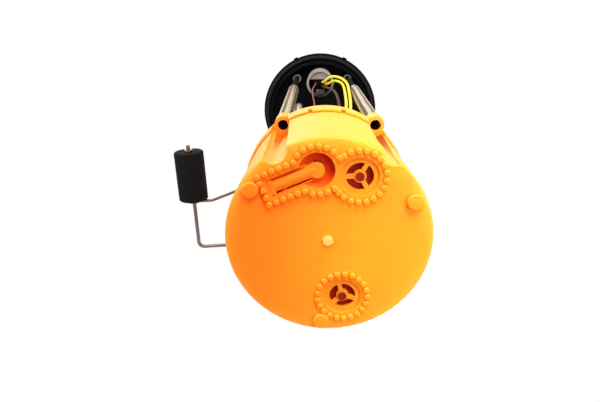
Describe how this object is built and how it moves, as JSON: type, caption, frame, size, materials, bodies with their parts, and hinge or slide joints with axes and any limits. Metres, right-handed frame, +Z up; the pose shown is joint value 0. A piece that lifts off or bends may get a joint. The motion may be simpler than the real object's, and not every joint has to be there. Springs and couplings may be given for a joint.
{
  "type": "fuel pump module",
  "caption": "In-tank fuel pump module: flange cover, two spring struts, moulded reservoir with an electric pump, hoses, wires and a level float.",
  "frame": {"origin": "on the module's axis at the flange's seat on the tank", "axes": "+Z up out of the tank through the flange, -Y towards the two guide struts"},
  "size_m": [0.1591, 0.1248, 0.3969],
  "materials": {
    "orange_moulding": "satin",
    "black_moulding": "satin",
    "black_rubber": "matte",
    "valve_rubber": "matte",
    "float_nitrile": "matte",
    "grey_plastic": "satin",
    "lilac_plastic": "satin",
    "brass": "polished",
    "bright_steel": "bright drawn",
    "dark_steel": "oiled",
    "spring_steel": "satin",
    "arm_wire": "drawn",
    "white_plastic": "satin",
    "nozzle_plastic": "satin",
    "hose_nylon": "satin",
    "clamp_steel": "bright",
    "sender_plastic": "satin",
    "ceramic_card": "glazed",
    "yellow_insulation": "gloss",
    "brown_insulation": "gloss",
    "red_insulation": "gloss"
  },
  "bodies": {
    "flange": {"flange_cover": "black_moulding", "flange_seal": "black_rubber", "connector_shroud": "grey_plastic", "inner_plug": "black_moulding", "plug_latch": "lilac_plastic", "socket_blades": "brass", "feed_nipple": "nozzle_plastic", "return_nipple": "nozzle_plastic", "rod_left": "dark_steel", "rod_right": "dark_steel", "rod_collar_left": "dark_steel", "rod_collar_right": "dark_steel", "rod_foot_left": "white_plastic", "rod_foot_right": "white_plastic", "return_spring_left": "spring_steel", "return_spring_right": "spring_steel", "feed_hose": "hose_nylon", "return_hose": "hose_nylon", "feed_clamp_high": "clamp_steel", "return_clamp_high": "clamp_steel", "yellow_wire_1": "yellow_insulation", "yellow_wire_2": "yellow_insulation", "brown_wire": "brown_insulation", "red_wire": "red_insulation"},
    "reservoir": {"reservoir_bucket": "orange_moulding", "pump_holder": "orange_moulding", "guide_tube_left": "bright_steel", "guide_tube_right": "bright_steel", "tube_bush_left": "white_plastic", "tube_bush_right": "white_plastic", "jet_pump_elbow": "orange_moulding", "pump_can": "bright_steel", "pump_inlet_cap": "black_moulding", "pump_outlet_cap": "black_moulding", "pump_plug": "white_plastic", "rubber_isolator": "black_rubber", "strainer": "white_plastic", "feed_clamp_low": "clamp_steel", "return_clamp_low": "clamp_steel", "sender_body": "sender_plastic", "resistor_card": "ceramic_card", "sender_terminals": "brass", "pivot_pin": "dark_steel"},
    "valve_front": {"valve_front": "valve_rubber"},
    "valve_rear": {"valve_rear": "valve_rubber"},
    "float_arm": {"rotor": "white_plastic", "wiper": "brass", "float_arm": "arm_wire", "stop_finger": "arm_wire", "float_clip": "spring_steel"},
    "float": {"float": "float_nitrile"}
  },
  "joints": [
    {"name": "reservoir_slide", "type": "slide", "parent": "flange", "child": "reservoir", "axis": [0, 0, 1], "range_m": [0, 0.055], "stiffness_N_per_m": 200, "springref_m": -0.06, "deforming": ["return_spring_left", "return_spring_right", "feed_hose", "return_hose", "yellow_wire_1", "yellow_wire_2", "brown_wire", "red_wire"]},
    {"name": "float_arm_swing", "type": "hinge", "parent": "reservoir", "child": "float_arm", "pos_m": [-0.008, 0.047, -0.246], "axis": [0, 1, 0], "range_deg": [-23, 60]},
    {"name": "float_spin", "type": "hinge", "parent": "float_arm", "child": "float", "pos_m": [-0.08673, 0.00015, -0.2586], "axis": [-0.0382, -0.9993, 0], "continuous": true},
    {"name": "valve_front_lift", "type": "slide", "parent": "reservoir", "child": "valve_front", "axis": [0, 0, 1], "range_m": [0, 0.0004]},
    {"name": "valve_rear_lift", "type": "slide", "parent": "reservoir", "child": "valve_rear", "axis": [0, 0, 1], "range_m": [0, 0.0004]}
  ]
}
